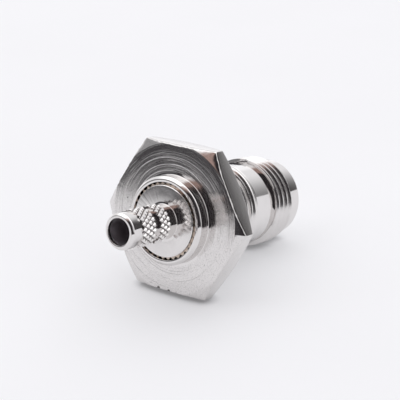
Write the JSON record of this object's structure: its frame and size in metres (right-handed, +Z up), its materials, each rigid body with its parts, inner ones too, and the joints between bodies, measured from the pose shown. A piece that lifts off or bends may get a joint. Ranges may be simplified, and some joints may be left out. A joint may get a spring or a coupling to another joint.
{
  "type": "reverse polarity tnc connector",
  "caption": "Nickel-plated coaxial bulkhead jack with a hex flange, threaded barrel, male pin in its open mouth and a knurled crimp stem for thin cable.",
  "frame": {"origin": "on the surface it lies on, under the middle of its length and width", "axes": "+X along its length towards the mating end, which points 12.88 degrees down; +Z up"},
  "size_m": [0.03, 0.0202, 0.0176],
  "materials": {
    "nickel_body": "turned and polished, nickel plated",
    "nickel_stem": "polished, nickel plated",
    "ptfe": "waxy white",
    "gold_contact": "gold plated"
  },
  "bodies": {
    "root": {"body": "nickel_body", "crimp_stem": "nickel_stem", "rear_insulator": "ptfe", "front_insulator": "ptfe", "centre_contact": "gold_contact"}
  },
  "joints": []
}
